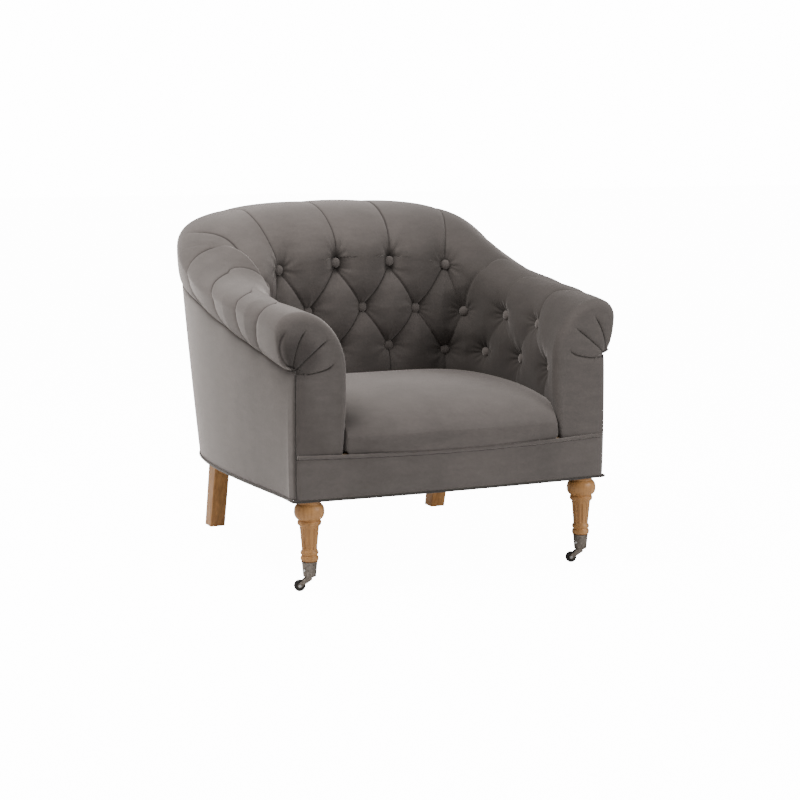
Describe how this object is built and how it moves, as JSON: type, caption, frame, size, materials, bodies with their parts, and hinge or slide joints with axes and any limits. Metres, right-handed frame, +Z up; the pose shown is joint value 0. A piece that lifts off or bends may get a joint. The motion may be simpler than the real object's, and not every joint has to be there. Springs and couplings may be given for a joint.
{
  "type": "club chair",
  "caption": "Low tub club chair with a deep-buttoned back and arms, a pleated roll, a tight crowned seat, and turned fluted front legs on castors.",
  "frame": {"origin": "on the floor, under the middle of the bounding box", "axes": "+Z up, +X to the right as the picture sees the chair, +Y from the front of the seat to the back"},
  "size_m": [0.8838, 0.888, 0.8185],
  "materials": {
    "velvet": "short-pile taupe grey velvet",
    "tufted_velvet": "short-pile taupe grey velvet over padding",
    "oak": "satin oak",
    "timber": "sawn hardwood",
    "spring_steel": "plain steel",
    "pewter": "antique pewter plate",
    "tyre": "dark hard rubber",
    "lining": "black spun cloth",
    "glide": "matt"
  },
  "bodies": {
    "chair": {"front_rail": "timber", "back_rail": "timber", "side_rail_left": "timber", "side_rail_right": "timber", "front_corner_blocks": "timber", "rear_corner_blocks": "timber", "arm_post_left": "timber", "arm_post_right": "timber", "back_post_left": "timber", "back_post_right": "timber", "arm_rail_left": "timber", "arm_rail_right": "timber", "top_rail": "timber", "seat_springs": "spring_steel", "spring_clips": "spring_steel", "seat_pad": "velvet", "tufted_back": "tufted_velvet", "tufted_arm_left": "tufted_velvet", "tufted_arm_right": "tufted_velvet", "buttons": "velvet", "outside_arm_left": "velvet", "outside_arm_right": "velvet", "outside_back": "velvet", "arm_facing_left": "velvet", "arm_facing_right": "velvet", "front_border": "velvet", "border_welt": "velvet", "bottom_welt": "velvet", "corner_welts": "velvet", "dust_cover": "lining", "front_leg_left": "oak", "front_leg_right": "oak", "rear_leg_left": "oak", "rear_leg_right": "oak", "leg_bolts": "spring_steel", "rear_glides": "glide", "castor_socket_left": "pewter", "castor_socket_right": "pewter", "castor_screws": "spring_steel"},
    "horn_left": {"castor_horn_left": "pewter", "castor_axle_left": "spring_steel"},
    "wheel_left": {"castor_wheel_left": "tyre"},
    "horn_right": {"castor_horn_right": "pewter", "castor_axle_right": "spring_steel"},
    "wheel_right": {"castor_wheel_right": "tyre"}
  },
  "joints": [
    {"name": "swivel_left", "type": "hinge", "parent": "chair", "child": "horn_left", "pos_m": [-0.338, -0.392, 0.033], "axis": [0, 0, 1], "continuous": true},
    {"name": "wheel_spin_left", "type": "hinge", "parent": "horn_left", "child": "wheel_left", "pos_m": [-0.35915, -0.38594, 0.0127], "axis": [0.2756, 0.9613, 0], "continuous": true},
    {"name": "swivel_right", "type": "hinge", "parent": "chair", "child": "horn_right", "pos_m": [0.338, -0.392, 0.033], "axis": [0, 0, 1], "continuous": true},
    {"name": "wheel_spin_right", "type": "hinge", "parent": "horn_right", "child": "wheel_right", "pos_m": [0.31685, -0.38594, 0.0127], "axis": [0.2756, 0.9613, 0], "continuous": true}
  ]
}
